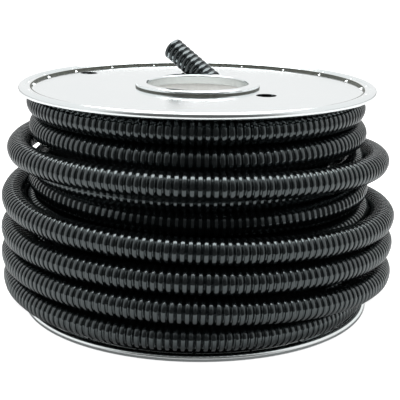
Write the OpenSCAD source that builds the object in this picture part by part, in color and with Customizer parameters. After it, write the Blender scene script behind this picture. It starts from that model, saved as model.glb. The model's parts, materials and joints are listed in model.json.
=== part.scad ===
// A pressed-steel reel, stood on its lower flange, wound with corrugated plastic conduit.
// Millimetres. The origin is the middle of the reel's footprint, +Z runs up the arbor bore.

/* [Reel] */
// Diameter over the rolled rims
flange_d = 250; // [230:1:300]
// Height over the two rolled rims
reel_h = 159; // [140:1:200]
// Thickness of the flange sheet
sheet_t = 0.6; // [0.4:0.1:0.8]
// Diameter of the rolled bead round the rim
bead_d = 5; // [3:0.2:6]
// How far the flat panel lies below the top of the rim
panel_depth = 3; // [2.6:0.1:4]
// Height of the step between the panel and the outer band
step_h = 1.7; // [1.2:0.1:2]
// Radial width of the outer band, from the step to the bead
band_w = 3; // [2:0.5:8]

/* [Stiffening nibs] */
// Number of pressed nibs that bridge the step
nib_count = 20; // [8:1:24]
// Width of one nib
nib_w = 2; // [1.6:0.2:3]
// Radial length of one nib
nib_len = 6; // [5:0.5:8]

/* [Hub] */
// Diameter of the arbor bore through the hub lips
arbor_d = 71.4; // [60:0.2:76]
// Depth of the turned-in lip, from the top of the hub ring
lip_h = 6.2; // [5:0.2:12]
// Wall of the core tube
tube_wall = 6.5; // [4:0.5:8]
// Clearance of the core tube inside the hub ring, each side
tube_gap = 0.1; // [0.05:0.05:0.3]

/* [Flange holes] */
// Radius from the axis to the drive hole
inner_hole_r = 59.5; // [58:0.5:64]
// Diameter of the drive hole
drive_hole_d = 13.8; // [8:0.2:16]
// Direction of the drive hole
drive_hole_angle = -39; // [-60:1:20]
// Radius from the axis to the tie hole
tie_hole_r = 102.4; // [92:0.2:106]
// Diameter of the tie hole
tie_hole_d = 13; // [8:0.2:16]
// Direction of the tie hole
tie_hole_angle = 144; // [125:1:220]
// Clearance of the start slot round the conduit
slot_gap = 0.8; // [0.4:0.1:1.5]

/* [Conduit] */
// Outside diameter over the ribs
conduit_od = 17.2; // [15:0.1:19]
// Inside diameter between the ribs
conduit_id = 13; // [11:0.1:13.4]
// Thickness of the corrugated wall
conduit_wall = 0.6; // [0.4:0.1:0.9]
// Spacing of the ribs
rib_pitch = 4.6; // [3.6:0.1:6]

/* [Free end] */
// Slope of the free end above the flange
end_slope = 30; // [26:1:60]
// Number of ribs that stand above the flange
end_ribs = 8; // [6:1:16]
// Where the free end leaves the first turn, as a direction round the axis
end_angle = 70.5; // [60:0.5:100]
// Outward swing of the free end from the first turn
end_swing = 19; // [10:1:30]

/* [Winding] */
// Clearance of the winding round the core tube and off the flanges
wind_gap = 0.3; // [0.2:0.1:1]
// How far the middle of the fullest outer turn stands out past the rim
turn_overhang = 7; // [2:0.5:12]
// How deep the outer turns bed into the layers beneath
turn_bed = 2.6; // [1.5:0.1:4]
// Looseness of the rows along the axis, added to each turn
row_slack = 1.6; // [1:0.1:2.4]
// Spacing of the layers that show on the ends
layer_step = 15; // [12:0.5:16]

/* [Hidden] */
$fn = 96;

flange_r = flange_d / 2;
bead_r = bead_d / 2;
bore_r = arbor_d / 2;
step_run = 0.6;
band_r = flange_r - bead_d - band_w;
panel_r = band_r - step_run;
panel_z = reel_h - panel_depth;
band_z = panel_z + step_h;

tube_in_r = bore_r + sheet_t + tube_gap;
tube_out_r = tube_in_r + tube_wall;
hub_out_r = tube_out_r + tube_gap + sheet_t;
tube_top = reel_h - sheet_t;

wind_bore_r = tube_out_r + wind_gap;
first_turn_r = wind_bore_r + conduit_od / 2 - 0.2;
low_turn_z = panel_depth + sheet_t + wind_gap + conduit_od / 2;
high_turn_z = reel_h - low_turn_z;
turn_span = high_turn_z - low_turn_z;
row_count = floor(turn_span / (conduit_od + row_slack)) + 1;
row_pitch = turn_span / (row_count - 1);

// The outer turns from the bottom up: how far each lies inside the fullest one, how far its front lies
// above its even place, and how far it climbs from the right side to the left. The top one lies flat.
turn_sink = [2, 0, 0, 0, 18.5, 5.5, 21, 21.5];
turn_lift = [4.6, 5.7, 5.8, 6.1, -0.6, 6.5, -0.6];
turn_climb = [9, 12, 10, 12, 4, 8, 3];

end_tilt = 90 - end_slope;
rib_crest = 0.5 * rib_pitch;
rib_flank = 0.16 * rib_pitch;
rib_depth = (conduit_od - conduit_id) / 2 - conduit_wall;
buried_len = (panel_z - high_turn_z) / sin(end_slope);
buried_ribs = round(buried_len / rib_pitch);
tube_ribs = end_ribs + buried_ribs;

function listed(list, i) = i < len(list) ? list[i] : 0;

// A bend of the sheet's middle line: points on an arc from one direction to another
function bend(x, y, r, from, to) = [
    for (i = [0:4]) let (a = from + (to - from) * i / 4) [x + r * cos(a), y + r * sin(a)]
];

// Unit normal, to the left, of the segment from p to q
function left_of(p, q) = [p.y - q.y, q.x - p.x] / norm(q - p);

// Point i of a path, moved sideways by d with a mitred corner
function moved(path, i, d) =
    let (
        last = len(path) - 1,
        before = left_of(path[max(i - 1, 0)], path[max(i, 1)]),
        after = left_of(path[min(i, last - 1)], path[min(i + 1, last)]),
        middle = before + after
    )
    path[i] + middle * (2 * d / (middle * middle));

// A sheet of thickness t laid along a path
module sheet_along(path, t) {
    last = len(path) - 1;
    left = [for (i = [0:last]) moved(path, i, t / 2)];
    right = [for (i = [0:last]) moved(path, last - i, -t / 2)];
    polygon(concat(left, right));
}

// Middle line of the pressed flange, from the foot of the hub lip out to the bead
function flange_path() =
    let (
        half = sheet_t / 2,
        turn_r = 0.9,
        lip_x = bore_r + half,
        ring_y = reel_h - half,
        wall_x = hub_out_r - half,
        panel_y = panel_z - half,
        band_y = band_z - half
    )
    concat(
        [[lip_x, reel_h - lip_h]],
        bend(lip_x + turn_r, ring_y - turn_r, turn_r, 180, 90),
        bend(wall_x - turn_r, ring_y - turn_r, turn_r, 90, 0),
        [[wall_x, panel_y], [panel_r, panel_y], [band_r, band_y], [flange_r - bead_d + half, band_y]]
    );

// The rim rolled under into an open bead
module rim_bead() {
    translate([flange_r - bead_r, reel_h - bead_r])
        difference() {
            circle(r = bead_r);
            circle(r = bead_r - sheet_t);
            rotate(205) square([bead_d, sheet_t]);
        }
}

module flange_sheet() {
    rotate_extrude() {
        sheet_along(flange_path(), sheet_t);
        rim_bead();
    }
}

// One nib: a small pressed rib that bridges the step
module nib() {
    middle_z = (panel_z + band_z) / 2 - sheet_t;
    translate([panel_r + step_run / 2 - nib_len / 2, 0, middle_z])
        rotate([0, 90 - atan2(step_h, nib_len), 0]) cylinder(d = nib_w, h = nib_len);
}

// Stands at the start of the free end, with -X pointing the way it leans
module at_first_turn() {
    rotate(end_angle) translate([first_turn_r, 0, 0]) rotate(-90 - end_swing) children();
}

module start_slot() {
    foot = (conduit_od / 2 + slot_gap) / sin(end_slope);
    wide = conduit_od / 2 + slot_gap;
    at_first_turn() translate([-buried_len * cos(end_slope), 0, panel_z - panel_depth]) {
        translate([wide - foot, -wide, 0]) cube([2 * (foot - wide), 2 * wide, 2 * panel_depth]);
        for (side = [-1, 1]) translate([side * (foot - wide), 0, 0])
            cylinder(r = wide, h = 2 * panel_depth);
    }
}

module round_hole(angle, r, d) {
    rotate(angle) translate([r, 0, panel_z - panel_depth]) cylinder(d = d, h = 2 * panel_depth);
}

// One pressing serves both ends of the reel
module flange() {
    difference() {
        union() {
            flange_sheet();
            for (i = [0:nib_count - 1]) rotate(90 + i * 360 / nib_count) nib();
        }
        round_hole(drive_hole_angle, inner_hole_r, drive_hole_d);
        round_hole(tie_hole_angle, tie_hole_r, tie_hole_d);
        start_slot();
    }
}

module top_flange() {
    color("gainsboro") flange();
}

module bottom_flange() {
    color("silver") translate([0, 0, reel_h]) mirror([0, 0, 1]) flange();
}

module core_tube() {
    color("ivory") translate([0, 0, reel_h - tube_top])
        difference() {
            cylinder(r = tube_out_r, h = 2 * tube_top - reel_h);
            translate([0, 0, -1]) cylinder(r = tube_in_r, h = reel_h + 2);
        }
}

// Centres of the turns that show: along the lower end, up the outside, and back along the upper end
function row_z(i) = i < row_count - 1 ? low_turn_z + i * row_pitch + listed(turn_lift, i) : high_turn_z;
function row_r(i) = flange_r + turn_overhang - listed(turn_sink, i);
function end_turns(r, z, inward) =
    let (nest = sqrt(conduit_od * conduit_od - layer_step * layer_step))
    [
        for (i = [0:round((r - first_turn_r) / layer_step) - 1])
            [first_turn_r + i * layer_step, z + (i % 2) * inward * nest]
    ];

// The inner layers: turns along both ends, and a fill that the outer turns bed into
module inner_section() {
    low_end = end_turns(row_r(0), low_turn_z, 1);
    high_end = end_turns(row_r(row_count - 1), high_turn_z, -1);
    last = len(high_end) - 1;
    bed = conduit_od / 2 - turn_bed;
    outside = [for (i = [0:row_count - 1]) [row_r(i) - bed, row_z(i)]];
    difference() {
        union() {
            polygon(concat(
                [[wind_bore_r, low_turn_z]], low_end, outside,
                [for (i = [0:last]) high_end[last - i]], [[wind_bore_r, high_turn_z]]
            ));
            for (turn = concat(low_end, high_end)) translate(turn) circle(d = conduit_od);
        }
        square([wind_bore_r, reel_h]);
    }
}

// One outer turn, tilted to climb from the right side to the left
module outer_turn(i) {
    translate([0, 0, row_z(i)]) rotate([0, asin(listed(turn_climb, i) / 2 / row_r(i)), 0])
        rotate_extrude() translate([row_r(i), 0]) circle(d = conduit_od);
}

// Outline of the corrugated wall: one side of it, moved inward by drop
function rib_line(drop) = [
    for (i = [0:tube_ribs - 1]) let (y = i * rib_pitch, out = conduit_od / 2 - drop)
        each [
            [out - rib_depth, y],
            [out, y + rib_flank],
            [out, y + rib_flank + rib_crest],
            [out - rib_depth, y + 2 * rib_flank + rib_crest]
        ]
];

module corrugated_tube() {
    outer = rib_line(0);
    inner = rib_line(conduit_wall);
    last = len(inner) - 1;
    rotate_extrude() polygon(concat(outer, [for (i = [0:last]) inner[last - i]]));
}

module at_free_end() {
    at_first_turn() translate([0, 0, high_turn_z]) rotate([0, -end_tilt, 0]) children();
}

module conduit() {
    color("dimgray") {
        difference() {
            union() {
                rotate_extrude() inner_section();
                for (i = [0:row_count - 1]) outer_turn(i);
            }
            at_free_end() cylinder(d = conduit_id, h = tube_ribs * rib_pitch);
        }
        at_free_end() corrugated_tube();
    }
}

top_flange();
bottom_flange();
core_tube();
conduit();
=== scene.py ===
"""A pressed-steel reel, stood on its lower flange and wound with black corrugated conduit.

Metres throughout. +Z runs up the arbor bore, and the reel's front is towards -Y.
"""

import json
import math

import bpy
from mathutils import Matrix, Vector


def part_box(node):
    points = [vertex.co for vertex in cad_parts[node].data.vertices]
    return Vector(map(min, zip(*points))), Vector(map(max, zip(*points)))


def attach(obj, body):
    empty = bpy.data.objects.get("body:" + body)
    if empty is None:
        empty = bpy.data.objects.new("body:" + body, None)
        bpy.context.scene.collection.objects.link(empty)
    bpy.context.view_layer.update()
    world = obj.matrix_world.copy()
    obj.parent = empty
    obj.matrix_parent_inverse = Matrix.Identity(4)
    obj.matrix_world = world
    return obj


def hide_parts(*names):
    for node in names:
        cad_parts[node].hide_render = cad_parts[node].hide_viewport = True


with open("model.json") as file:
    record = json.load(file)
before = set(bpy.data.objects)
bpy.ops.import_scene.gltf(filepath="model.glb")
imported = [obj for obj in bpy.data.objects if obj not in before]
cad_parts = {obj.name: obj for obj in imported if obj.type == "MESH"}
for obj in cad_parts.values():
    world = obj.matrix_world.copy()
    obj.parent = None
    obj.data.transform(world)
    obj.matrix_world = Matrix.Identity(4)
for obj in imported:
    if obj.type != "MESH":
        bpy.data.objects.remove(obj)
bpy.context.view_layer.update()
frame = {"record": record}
bpy.context.scene.view_settings.view_transform = "Standard"

MM = 0.001

# Reel sizes, taken from the frame
FLANGE_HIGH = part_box("top_flange")[1]
RIM_R = FLANGE_HIGH.x
REEL_H = FLANGE_HIGH.z
MOUNTS = {mount["name"]: mount for mount in frame["record"]["mounts"]}
BORE_R = MOUNTS["arbor_bore"]["dims"]["r_mm"] * MM
TUBE_OUT_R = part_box("core_tube")[1].x
TUBE_LOW_Z, TUBE_HIGH_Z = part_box("core_tube")[0].z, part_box("core_tube")[1].z

# Flange pressing
SHEET = 0.6 * MM
LIP_H = 6.2 * MM
BEAD_R = 2.5 * MM
PANEL_DEPTH = 3.0 * MM
STEP_H = 1.7 * MM
BAND_W = 3.0 * MM
STEP_RUN = 0.3 * MM
TUBE_GAP = 0.1 * MM
HUB_OUT_R = TUBE_OUT_R + TUBE_GAP + SHEET
BAND_R = RIM_R - 2 * BEAD_R - BAND_W
PANEL_Z = REEL_H - PANEL_DEPTH
BAND_Z = PANEL_Z + STEP_H
NIB_COUNT = 20
NIB_W = 2.0 * MM
NIB_LEN = 6.0 * MM
TURN_SEGMENTS = 240

# Flange holes: radius from the axis, direction in degrees, diameter
DRIVE_HOLE = (59.5 * MM, -39, 13.8 * MM)
TIE_HOLE = (102.4 * MM, 144, 13.0 * MM)
SLOT_GAP = 0.8 * MM

# Painted shade: dark strips in the corners of the panel, at the foot of the hub ring and of the rim's
# step: height and thickness
HUB_SHADE_STRIP = (1.1 * MM, 0.15 * MM)
RIM_SHADE_STRIP = (STEP_H - 0.1 * MM, 0.4 * MM)

# Conduit
CONDUIT_R = 8.6 * MM
GROOVE_R = 6.8 * MM
WALL = 0.6 * MM
RIB_PITCH = 4.6 * MM
FIRST_TURN_R = 51.6 * MM
END_TURN_Z = PANEL_DEPTH + SHEET + 0.3 * MM + CONDUIT_R
END_RIBS = 12

# The free end leaves the first turn here, leaning back and to the left as it climbs
END_SLOPE = math.radians(30)
END_LEAVE = math.radians(70.5)
END_START = Vector((
    FIRST_TURN_R * math.cos(END_LEAVE), FIRST_TURN_R * math.sin(END_LEAVE), REEL_H - END_TURN_Z
))
END_WAY = math.radians(141.5)
END_AXIS = Vector((
    math.cos(END_SLOPE) * math.cos(END_WAY), math.cos(END_SLOPE) * math.sin(END_WAY), math.sin(END_SLOPE)
))
END_FOOT = END_START + END_AXIS * ((PANEL_Z - END_START.z) / END_AXIS.z)

SIDES = 28
END_SIDES = 36
HIDDEN_SIDES = 14
TAIL_RIBS = 12
OUTER_RUNS = 4

# Studio
LENS = 92.7
FLOOR_SIZE = 8
FLOOR_FRONT_Y = -0.39
FLOOR_WHITE = 0.85


# ---------------------------------------------------------------- mesh tools

def deselect():
    if bpy.context.object and bpy.context.object.mode != "OBJECT":
        bpy.ops.object.mode_set(mode="OBJECT")
    bpy.ops.object.select_all(action="DESELECT")


def pick(obj):
    """Makes obj the only selected object, and the active one."""
    deselect()
    obj.select_set(True)
    bpy.context.view_layer.objects.active = obj
    return obj


def named(name):
    """The object that a primitive operator has just added, with its place moved into its mesh."""
    obj = bpy.context.object
    obj.name = obj.data.name = name
    bpy.ops.object.transform_apply(location=True, rotation=True, scale=True)
    return obj


def edit(obj):
    pick(obj)
    bpy.ops.object.mode_set(mode="EDIT")


def leave_edit():
    bpy.ops.object.mode_set(mode="OBJECT")


def apply(obj, kind, **settings):
    """Adds a modifier with these settings and applies it."""
    pick(obj)
    modifier = obj.modifiers.new(kind.title(), kind)
    for key, value in settings.items():
        setattr(modifier, key, value)
    bpy.ops.object.modifier_apply(modifier=modifier.name)


def tidy_normals(obj):
    edit(obj)
    bpy.ops.mesh.select_all(action="SELECT")
    bpy.ops.mesh.remove_doubles(threshold=1e-6)
    bpy.ops.mesh.normals_make_consistent(inside=False)
    leave_edit()


def smooth(obj, angle=40):
    pick(obj)
    bpy.ops.object.shade_smooth_by_angle(angle=math.radians(angle))


def flat_faces(obj):
    """Smooth bends between faces that stay flat."""
    smooth(obj)
    apply(obj, "WEIGHTED_NORMAL", weight=90, keep_sharp=True)


def join(name, pieces):
    pick(pieces[0])
    for piece in pieces:
        piece.select_set(True)
    if len(pieces) > 1:
        bpy.ops.object.join()
    pieces[0].name = pieces[0].data.name = name
    return pieces[0]


def arc(x, y, r, start, end, steps=6):
    """Points on an arc, with its angles in degrees."""
    angles = [math.radians(start + (end - start) * i / steps) for i in range(steps + 1)]
    return [(x + r * math.cos(a), y + r * math.sin(a)) for a in angles]


def turned(name, outline, segments=TURN_SEGMENTS, closed=False):
    """A turned shape: a ring, extruded and scaled from point to point of its outline."""
    deselect()
    r, z = outline[0]
    bpy.ops.mesh.primitive_circle_add(vertices=segments, radius=r, location=(0, 0, z))
    obj = named(name)
    edit(obj)
    bpy.ops.mesh.select_all(action="SELECT")
    for next_r, next_z in outline[1:] + outline[:1] * closed:
        bpy.ops.mesh.extrude_edges_move(TRANSFORM_OT_translate={"value": (0, 0, next_z - z)})
        bpy.ops.transform.resize(value=(next_r / r, next_r / r, 1), center_override=(0, 0, next_z))
        r, z = next_r, next_z
    leave_edit()
    tidy_normals(obj)
    return obj


# ---------------------------------------------------------------- materials

def node_material(name):
    material = bpy.data.materials.new(name)
    material.use_nodes = True
    nodes = material.node_tree.nodes
    return material, nodes, material.node_tree.links, nodes["Principled BSDF"]


def noise(nodes, links, scale, stretch=(1, 1, 1), detail=4, rough=0.6):
    """Noise on object coordinates, stretched along the axes."""
    place = nodes.new("ShaderNodeTexCoord")
    mapping = nodes.new("ShaderNodeMapping")
    mapping.inputs["Scale"].default_value = stretch
    texture = nodes.new("ShaderNodeTexNoise")
    texture.inputs["Scale"].default_value = scale
    texture.inputs["Detail"].default_value = detail
    texture.inputs["Roughness"].default_value = rough
    links.new(place.outputs["Object"], mapping.inputs["Vector"])
    links.new(mapping.outputs["Vector"], texture.inputs["Vector"])
    return texture.outputs["Fac"]


def ramp(nodes, links, value, low, high, start=0.3, end=0.7):
    """Maps a texture onto the range from low to high."""
    mapped = nodes.new("ShaderNodeMapRange")
    mapped.inputs["From Min"].default_value = start
    mapped.inputs["From Max"].default_value = end
    mapped.inputs["To Min"].default_value = low
    mapped.inputs["To Max"].default_value = high
    links.new(value, mapped.inputs["Value"])
    return mapped.outputs["Result"]


def tint(nodes, links, value, dark, light, start=0.3, end=0.7):
    colours = nodes.new("ShaderNodeValToRGB")
    colours.color_ramp.elements[0].position = start
    colours.color_ramp.elements[1].position = end
    colours.color_ramp.elements[0].color = (*dark, 1)
    colours.color_ramp.elements[1].color = (*light, 1)
    links.new(value, colours.inputs["Fac"])
    return colours.outputs["Color"]


def bump(nodes, links, height, shader, distance, strength=1.0):
    relief = nodes.new("ShaderNodeBump")
    relief.inputs["Distance"].default_value = distance
    relief.inputs["Strength"].default_value = strength
    links.new(height, relief.inputs["Height"])
    links.new(relief.outputs["Normal"], shader.inputs["Normal"])


def tinned_steel():
    """Bright cold-rolled sheet with a faint grain along X."""
    material, nodes, links, shader = node_material("tinned_steel")
    shader.inputs["Metallic"].default_value = 1
    grain = noise(nodes, links, 900, stretch=(0.04, 1, 1))
    cloud = noise(nodes, links, 14)
    shade = tint(nodes, links, cloud, (0.85, 0.895, 0.90), (0.88, 0.915, 0.92))
    links.new(shade, shader.inputs["Base Color"])
    links.new(ramp(nodes, links, grain, 0.09, 0.15), shader.inputs["Roughness"])
    bump(nodes, links, grain, shader, 0.01 * MM, 0.15)
    return material


def tube_board():
    """White-lined wound board with a faint upright fibre."""
    material, nodes, links, shader = node_material("tube_board")
    fibre = noise(nodes, links, 500, stretch=(1, 1, 0.3))
    shade = tint(nodes, links, fibre, (0.80, 0.80, 0.78), (0.88, 0.88, 0.86))
    links.new(shade, shader.inputs["Base Color"])
    shader.inputs["Roughness"].default_value = 0.6
    bump(nodes, links, fibre, shader, 0.05 * MM, 0.4)
    return material


def conduit_plastic():
    """Black polyethylene: satin, with a little unevenness of gloss from rib to rib."""
    material, nodes, links, shader = node_material("conduit_plastic")
    patch = noise(nodes, links, 60)
    fine = noise(nodes, links, 900, detail=2)
    shade = tint(nodes, links, patch, (0.0022, 0.0027, 0.003), (0.0036, 0.0042, 0.0045))
    links.new(shade, shader.inputs["Base Color"])
    links.new(ramp(nodes, links, patch, 0.11, 0.17), shader.inputs["Roughness"])
    shader.inputs["IOR"].default_value = 1.6
    shader.inputs["Specular IOR Level"].default_value = 0.8
    shader.inputs["Specular Tint"].default_value = (0.86, 0.98, 1, 1)
    bump(nodes, links, fine, shader, 0.02 * MM, 0.25)
    return material


def painted_shade_black():
    """Painted shade: a dark colour, a little uneven, for the shade in the corners of the pressing."""
    material, nodes, links, shader = node_material("painted_shade_black")
    patch = noise(nodes, links, 240)
    shade = tint(nodes, links, patch, (0.030, 0.032, 0.026), (0.075, 0.078, 0.062))
    links.new(shade, shader.inputs["Base Color"])
    links.new(ramp(nodes, links, patch, 0.45, 0.65), shader.inputs["Roughness"])
    bump(nodes, links, patch, shader, 0.05 * MM, 0.4)
    return material


STEEL = tinned_steel()
# Painted shade for the dark corners of the flanges
PAINTED_SHADE = painted_shade_black()
BOARD = tube_board()
PLASTIC = conduit_plastic()


def dress(obj, material):
    """Gives a piece its material and slot, and lets it ride on the reel."""
    obj.data.materials.clear()
    obj.data.materials.append(material)
    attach(obj, "root")
    return obj


# ---------------------------------------------------------------- flanges

def sheet_line():
    """Middle of the sheet, from the foot of the hub lip to the free edge of the rolled rim."""
    half = SHEET / 2
    hub_bend, step_bend, edge_bend = 0.8 * MM, 0.4 * MM, 0.35 * MM
    lip_r, hub_r, top = BORE_R + half, HUB_OUT_R - half, REEL_H - half
    panel_r, panel_z, band_z = BAND_R - STEP_RUN, PANEL_Z - half, BAND_Z - half
    roll = BEAD_R - half
    bead_r, bead_z = RIM_R - BEAD_R, REEL_H - BEAD_R
    meet = math.degrees(math.asin((band_z - bead_z) / roll))
    return (
        [(lip_r, REEL_H - LIP_H)]
        + arc(lip_r + hub_bend, top - hub_bend, hub_bend, 180, 90)
        + arc(hub_r - hub_bend, top - hub_bend, hub_bend, 90, 0)
        + arc(hub_r + step_bend, panel_z + step_bend, step_bend, 180, 270)
        + arc(panel_r - edge_bend, panel_z + edge_bend, edge_bend, 270, 350, 4)
        + arc(BAND_R + edge_bend, band_z - edge_bend, edge_bend, 170, 90, 4)
        + arc(bead_r, bead_z, roll, 180 - meet, -148, 26)
    )


def sheet_sides(line):
    """The line moved half the sheet's thickness to each side, as one closed outline."""
    left, right = [], []
    last = len(line) - 1
    for i, (x, y) in enumerate(line):
        (x0, y0), (x1, y1) = line[max(i - 1, 0)], line[min(i + 1, last)]
        length = math.hypot(x1 - x0, y1 - y0)
        nx, ny = (y0 - y1) / length * SHEET / 2, (x1 - x0) / length * SHEET / 2
        left.append((x + nx, y + ny))
        right.append((x - nx, y - ny))
    return left + right[::-1]


def nibs():
    """Small pressed nibs that bridge the step, one modelled and the rest copied round."""
    deselect()
    middle = BAND_R - STEP_RUN / 2
    run = NIB_LEN - NIB_W
    start = (middle - run / 2, 0, PANEL_Z - 0.35 * NIB_W)
    bpy.ops.mesh.primitive_uv_sphere_add(segments=12, ring_count=8, radius=NIB_W / 2, location=start)
    first = named("nib")
    edit(first)
    bpy.ops.mesh.select_all(action="DESELECT")
    leave_edit()
    for vertex in first.data.vertices:
        vertex.select = vertex.co.x > start[0] + 0.1 * MM
    edit(first)
    bpy.ops.transform.translate(value=(run, 0, STEP_H))
    leave_edit()
    copies = [first]
    for i in range(1, NIB_COUNT):
        pick(first)
        bpy.ops.object.duplicate()
        copy = bpy.context.object
        copy.rotation_euler.z = math.tau * i / NIB_COUNT
        bpy.ops.object.transform_apply(location=True, rotation=True, scale=True)
        copies.append(copy)
    return join("nibs", copies)


def hole_punch(centre, radius, stretch=0.0, way=0.0):
    """A punch for a round hole, or for a slot drawn out along its way by stretch."""
    deselect()
    bpy.ops.mesh.primitive_cylinder_add(vertices=64, radius=radius, depth=8 * MM)
    punch = named("punch")
    for side in (-1, 1) if stretch else ():
        edit(punch)
        bpy.ops.mesh.select_mode(type="VERT")
        bpy.ops.mesh.select_all(action="DESELECT")
        leave_edit()
        for vertex in punch.data.vertices:
            vertex.select = side * vertex.co.x > 0.01 * MM
        edit(punch)
        bpy.ops.transform.translate(value=(side * stretch, 0, 0))
        leave_edit()
    punch.rotation_euler.z = way
    punch.location = (centre[0], centre[1], PANEL_Z)
    pick(punch)
    bpy.ops.object.transform_apply(location=True, rotation=True, scale=True)
    return punch


def round_punch(centre_r, direction, diameter):
    a = math.radians(direction)
    return hole_punch((centre_r * math.cos(a), centre_r * math.sin(a)), diameter / 2)


def flange():
    sheet = turned("top_flange_pressing", sheet_sides(sheet_line()), closed=True)
    slot_r = CONDUIT_R + SLOT_GAP
    punches = join("punches", [
        round_punch(*DRIVE_HOLE),
        round_punch(*TIE_HOLE),
        hole_punch(END_FOOT, slot_r, slot_r / math.sin(END_SLOPE) - slot_r, END_WAY),
    ])
    apply(sheet, "BOOLEAN", operation="DIFFERENCE", object=punches, solver="EXACT")
    bpy.data.objects.remove(punches)
    sheet = join("top_flange_pressing", [sheet, nibs()])
    flat_faces(sheet)
    return sheet


def turned_over(piece, name):
    """A copy of a piece of the upper flange, turned over for the lower one."""
    pick(piece)
    bpy.ops.object.duplicate()
    lower = bpy.context.object
    lower.name = lower.data.name = name
    edit(lower)
    bpy.ops.mesh.select_all(action="SELECT")
    bpy.ops.transform.mirror(
        constraint_axis=(False, False, True), center_override=(0, 0, REEL_H / 2)
    )
    bpy.ops.mesh.flip_normals()
    leave_edit()
    return lower


def both_flanges():
    """The same pressing serves both ends."""
    upper = flange()
    lower = turned_over(upper, "bottom_flange_pressing")
    flat_faces(lower)
    for piece, node in ((upper, "top_flange"), (lower, "bottom_flange")):
        dress(piece, STEEL)
        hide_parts(node)


def corner_shade_strip(name, r, height, thick, outward):
    """A fillet-shaped strip of painted shade round a corner of the panel, against the wall at radius r."""
    way = 1 if outward else -1
    low, high = PANEL_Z - 0.05 * MM, PANEL_Z + height
    wall, face, foot = r - way * 0.15 * MM, r + way * thick, r + way * thick * 1.6
    outline = [
        (wall, low), (foot, low), (face, low + 0.3 * height),
        (face, high - 0.3 * thick), (r, high), (wall, high),
    ]
    ring = turned(name, outline if outward else outline[::-1], closed=True)
    smooth(ring, 50)
    return ring


def shade_strips():
    """Painted shade at the foot of the hub ring and of the rim's step, on both flanges."""
    upper = join("top_flange_shade_strips", [
        corner_shade_strip("hub_shade_strip", HUB_OUT_R, *HUB_SHADE_STRIP, True),
        corner_shade_strip("rim_shade_strip", BAND_R - STEP_RUN - 0.1 * MM, *RIM_SHADE_STRIP, False),
    ])
    for piece in (upper, turned_over(upper, "bottom_flange_shade_strips")):
        dress(piece, PAINTED_SHADE)


# ---------------------------------------------------------------- core tube

def core_tube():
    """The board tube, with its four edges slightly rounded."""
    in_r = BORE_R + SHEET + TUBE_GAP
    edge = 0.4 * MM
    outline = (
        arc(in_r + edge, TUBE_LOW_Z + edge, edge, 270, 180, 3)
        + arc(in_r + edge, TUBE_HIGH_Z - edge, edge, 180, 90, 3)
        + arc(TUBE_OUT_R - edge, TUBE_HIGH_Z - edge, edge, 90, 0, 3)
        + arc(TUBE_OUT_R - edge, TUBE_LOW_Z + edge, edge, 0, -90, 3)
    )
    tube = turned("board_tube", outline, 180, closed=True)
    smooth(tube)
    dress(tube, BOARD)
    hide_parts("core_tube")


# ---------------------------------------------------------------- conduit

# The wound course in quarter turns, clockwise seen from above, each turn from the right side
# by the front and the left to the back: height and radius of the conduit's middle, in mm.
# It comes down in the fifth layer and goes up again in the sixth.
UNDER_TURNS = (
    ((106.5, 112), (102.5, 110), (103, 110), (101, 111)),
    ((89.3, 114), (87, 110), (92.5, 111), (83, 113)),
    ((71.5, 116), (70, 113), (76, 114.5), (64, 113)),
    ((52.5, 115), (51, 113), (55, 113.5), (45, 113)),
    ((33, 114), (32, 113), (34, 113), (24, 113)),
)
OUTER_TURNS = (
    ((13.4, 113), (17.1, 125), (22.3, 131), (25, 132)),
    ((28, 133), (37.3, 132), (40.5, 131.5), (44.3, 132)),
    ((49.6, 133), (56.6, 132), (58.5, 131), (63.9, 132)),
    ((68.8, 133.5), (76, 132), (82, 130), (94, 130.5)),
    ((107.5, 128), (114.7, 126.5), (115.6, 125), (121.5, 121)),
    ((126.8, 111.5), (126.8, 110.5), (131, 109.5), (137, 110)),
    ((144, 109.5), (144.6, 110), (146.8, 111), (146.6, 109)),
)
QUARTER_STEPS = 6


def between(before, start, end, after, t):
    """A smooth curve through four values, t of the way from start to end."""
    return 0.5 * (
        2 * start
        + (end - before) * t
        + (2 * before - 5 * start + 4 * end - after) * t * t
        + (3 * start - before - 3 * end + after) * t ** 3
    )


def course(turns):
    """Points along the turns, a few to each quarter."""
    stations = [station for turn in turns for station in turn]
    stations = stations[:1] + stations + stations[-1:]
    points = []
    for i in range(1, len(stations) - 2):
        for step in range(QUARTER_STEPS):
            t = step / QUARTER_STEPS
            z, r = (between(*(stations[i + k][axis] for k in (-1, 0, 1, 2)), t) * MM for axis in (0, 1))
            a = -math.pi / 2 * (i - 1 + t)
            points.append(Vector((r * math.cos(a), r * math.sin(a), z)))
    return points


def guide(name, points):
    """A smooth curve through the points, for a run of ribs to follow."""
    deselect()
    bpy.ops.curve.primitive_bezier_curve_add()
    line = bpy.context.object
    line.name = name
    line.data.splines.clear()
    spline = line.data.splines.new("BEZIER")
    spline.bezier_points.add(len(points) - 1)
    for knot, point in zip(spline.bezier_points, points):
        knot.co = point
        knot.handle_left_type = knot.handle_right_type = "AUTO"
    line.data.resolution_u = 4
    line.data.twist_mode = "Z_UP"
    return line


FINE_RIB = (
    (0.00, 0.00), (0.20, 0.42), (0.25, 0.86), (0.38, 0.98),
    (0.62, 0.98), (0.75, 0.86), (0.80, 0.42),
)
PLAIN_RIB = ((0.00, 0.00), (0.18, 0.40), (0.32, 1.00), (0.68, 1.00), (0.82, 0.40))


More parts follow.
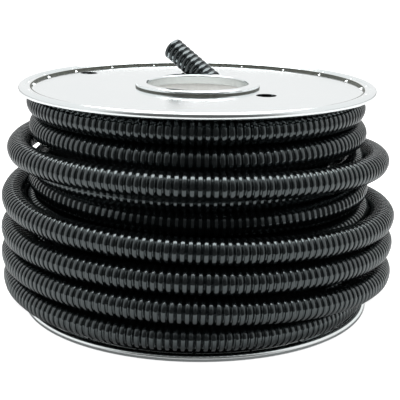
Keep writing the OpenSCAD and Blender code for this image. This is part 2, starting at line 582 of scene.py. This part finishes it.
def rib(first, shape, sides):
    """One rib as an open ring round X: a circle extruded and scaled over the crest to the next groove."""
    deselect()
    x = first * RIB_PITCH
    r = GROOVE_R
    bpy.ops.mesh.primitive_circle_add(
        vertices=sides, radius=r, location=(x, 0, 0), rotation=(0, math.pi / 2, 0)
    )
    obj = named("rib")
    edit(obj)
    bpy.ops.mesh.select_all(action="SELECT")
    for share, rise in shape[1:] + ((1, 0),):
        next_x = (first + share) * RIB_PITCH
        next_r = GROOVE_R + rise * (CONDUIT_R - GROOVE_R)
        bpy.ops.mesh.extrude_edges_move(TRANSFORM_OT_translate={"value": (next_x - x, 0, 0)})
        bpy.ops.transform.resize(value=(1, next_r / r, next_r / r), center_override=(next_x, 0, 0))
        x, r = next_x, next_r
    leave_edit()
    tidy_normals(obj)
    return obj


def ribbed_run(name, line, first, count, shape=FINE_RIB, sides=SIDES, wall=0.0):
    """A run of ribs along a guide line, hollow with a wall, or closed at its ends."""
    run = rib(first, shape, sides)
    run.name = run.data.name = name
    apply(
        run, "ARRAY", count=count, use_relative_offset=False, use_constant_offset=True,
        constant_offset_displace=(RIB_PITCH, 0, 0), use_merge_vertices=True, merge_threshold=1e-5,
    )
    if wall:
        apply(run, "SOLIDIFY", thickness=wall, offset=-1, use_even_offset=False)
    else:
        edit(run)
        bpy.ops.mesh.select_all(action="DESELECT")
        bpy.ops.mesh.select_non_manifold()
        bpy.ops.mesh.edge_face_add()
        leave_edit()
    apply(run, "CURVE", object=line, deform_axis="POS_X")
    smooth(run, 30)
    return dress(run, PLASTIC)


def ribs_along(line):
    return int(line.data.splines[0].calc_length() / RIB_PITCH)


def wound_course():
    """The two outer layers as one continuous length, in runs of a few turns each."""
    under, outer = course(UNDER_TURNS + OUTER_TURNS[:1]), course(UNDER_TURNS + OUTER_TURNS)
    line = guide("wound_line", outer)
    total = ribs_along(line)
    under_length = sum((b - a).length for a, b in zip(under, under[1:24 * len(UNDER_TURNS)]))
    under_ribs = int(under_length / RIB_PITCH)
    ribbed_run("under_turns", line, 0, under_ribs, PLAIN_RIB, HIDDEN_SIDES)
    start = under_ribs
    for i in range(OUTER_RUNS):
        end = under_ribs + (total - TAIL_RIBS - under_ribs) * (i + 1) // OUTER_RUNS
        ribbed_run(f"outer_turns_{i + 1}", line, start, end - start)
        start = end
    ribbed_run("tail_end", line, start, TAIL_RIBS, wall=WALL)
    bpy.data.objects.remove(line)


def free_end():
    """The starting end: it leaves the first turn, rises through the slot and leans back and left."""
    tip = END_START + END_AXIS * (END_RIBS * RIB_PITCH)
    straight = [tip.lerp(END_START, i / 5) for i in range(6)]
    ring = [
        Vector((r * MM * math.cos(b), r * MM * math.sin(b), REEL_H - END_TURN_Z - drop * MM))
        for r, b, drop in (
            (51.2, math.radians(52), 4), (51.6, math.radians(30), 5), (51.6, math.radians(5), 5)
        )
    ]
    line = guide("free_line", straight + ring)
    ribbed_run("free_end", line, 0, ribs_along(line), sides=END_SIDES, wall=WALL)
    bpy.data.objects.remove(line)


def end_rings():
    """Turns that lie against the flanges and show through their holes."""
    rings = []
    first_r, layer_step, stagger = 51.8 * MM, 15 * MM, 8 * MM
    for z in (END_TURN_Z, REEL_H - END_TURN_Z):
        for i in range(4):
            r = first_r + layer_step * i
            drop = (i % 2) * stagger
            points = [
                Vector((r * math.cos(b), r * math.sin(b), z + (drop if z < REEL_H / 2 else -drop)))
                for b in (math.tau * k / 36 for k in range(37))
            ]
            line = guide("ring_line", points)
            rings.append(ribbed_run(f"ring_{i}", line, 0, ribs_along(line), PLAIN_RIB, HIDDEN_SIDES))
            bpy.data.objects.remove(line)
    return join("end_rings", rings)


def hidden_turns():
    """The turns that nothing shows, as one turned core that keeps the light out."""
    rows = 7
    end_room = 20 * MM
    low, high = end_room, REEL_H - end_room
    pitch = (high - low) / rows
    in_r, middle_r, bulge = TUBE_OUT_R + 0.5 * MM, 92 * MM, 7 * MM
    outline = [(in_r, high), (in_r, low)]
    for i in range(rows):
        z = low + (i + 0.5) * pitch
        outline += [(middle_r + bulge * math.cos(b), z + pitch / 2 * math.sin(b))
                    for b in (math.radians(d) for d in (-80, -50, -20, 20, 50, 80))]
    core = turned("hidden_turns", outline, 96, closed=True)
    smooth(core)
    return dress(core, PLASTIC)


# ---------------------------------------------------------------- studio

def camera():
    """A long lens, a little above the rim."""
    deselect()
    distance, height = 723.6 * MM, 264.8 * MM
    pitch, roll, yaw = math.radians(14.85), 0.0144, math.radians(-0.226)
    bpy.ops.object.camera_add(location=(0, -distance, height))
    eye = bpy.context.object
    aim = Matrix.Rotation(yaw, 4, "Z") @ Matrix.Rotation(math.pi / 2 - pitch, 4, "X")
    eye.rotation_euler = (aim @ Matrix.Rotation(roll, 4, "Z")).to_euler()
    eye.data.sensor_width = 36
    eye.data.lens = LENS
    bpy.context.scene.camera = eye


def floor():
    deselect()
    bpy.ops.mesh.primitive_plane_add(size=FLOOR_SIZE, location=(0, FLOOR_FRONT_Y + FLOOR_SIZE / 2, 0))
    plane = named("floor")
    material = bpy.data.materials.new("floor")
    material.use_nodes = True
    nodes, links = material.node_tree.nodes, material.node_tree.links
    nodes.clear()
    diffuse = nodes.new("ShaderNodeBsdfDiffuse")
    diffuse.inputs["Color"].default_value = (0.8, 0.8, 0.8, 1)
    glow = nodes.new("ShaderNodeEmission")
    rays = nodes.new("ShaderNodeLightPath")
    add = nodes.new("ShaderNodeAddShader")
    output = nodes.new("ShaderNodeOutputMaterial")
    share = nodes.new("ShaderNodeMath")
    share.operation = "MULTIPLY"
    share.inputs[1].default_value = FLOOR_WHITE
    links.new(rays.outputs["Is Camera Ray"], share.inputs[0])
    links.new(share.outputs["Value"], glow.inputs["Strength"])
    links.new(diffuse.outputs["BSDF"], add.inputs[0])
    links.new(glow.outputs["Emission"], add.inputs[1])
    links.new(add.outputs["Shader"], output.inputs["Surface"])
    plane.data.materials.append(material)


def surroundings():
    """Pale for the camera. In reflections: dark in front, and white everywhere else."""
    world = bpy.data.worlds.new("studio")
    bpy.context.scene.world = world
    world.use_nodes = True
    nodes, links = world.node_tree.nodes, world.node_tree.links
    nodes.clear()

    def backdrop(strength):
        shader = nodes.new("ShaderNodeBackground")
        shader.inputs["Strength"].default_value = strength
        return shader

    def sweep(value, start, end, low, high):
        """Blends smoothly from low to high as the value goes from start to end."""
        mapped = nodes.new("ShaderNodeMapRange")
        mapped.interpolation_type = "SMOOTHSTEP"
        mapped.inputs["From Min"].default_value = start
        mapped.inputs["From Max"].default_value = end
        mapped.inputs["To Min"].default_value = low
        mapped.inputs["To Max"].default_value = high
        links.new(value, mapped.inputs["Value"])
        return mapped.outputs["Result"]

    def combine(operation, a, b):
        node = nodes.new("ShaderNodeMath")
        node.operation = operation
        links.new(a, node.inputs[0])
        links.new(b, node.inputs[1])
        return node.outputs["Value"]

    def mix(share, a, b):
        shader = nodes.new("ShaderNodeMixShader")
        links.new(share, shader.inputs["Fac"])
        links.new(a.outputs[0], shader.inputs[1])
        links.new(b.outputs[0], shader.inputs[2])
        return shader

    place = nodes.new("ShaderNodeTexCoord")
    axes = nodes.new("ShaderNodeSeparateXYZ")
    links.new(place.outputs["Generated"], axes.inputs["Vector"])
    level = sweep(axes.outputs["Y"], -0.85, -0.3, 0.13, 1.15)
    mirrored = backdrop(1)
    links.new(level, mirrored.inputs["Strength"])

    rays = nodes.new("ShaderNodeLightPath")
    glossy = combine("MAXIMUM", rays.outputs["Is Glossy Ray"], rays.outputs["Is Transmission Ray"])
    unseen = mix(glossy, backdrop(0.7), mirrored)
    output = nodes.new("ShaderNodeOutputWorld")
    links.new(mix(rays.outputs["Is Camera Ray"], unseen, backdrop(1)).outputs[0], output.inputs["Surface"])


def lamp(name, place, aim, size, power):
    deselect()
    bpy.ops.object.light_add(type="AREA", location=place)
    light = bpy.context.object
    light.name = name
    light.data.size = size
    light.data.energy = power
    light.rotation_euler = (Vector(aim) - Vector(place)).to_track_quat("-Z", "Y").to_euler()


# ---------------------------------------------------------------- making

camera()
both_flanges()
shade_strips()
core_tube()
wound_course()
free_end()
end_rings()
core = hidden_turns()
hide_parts("conduit")
floor()
surroundings()
lamp("top_softbox", (0, 0.13, 1.08), (0, 0.13, 0), 1.1, 17)
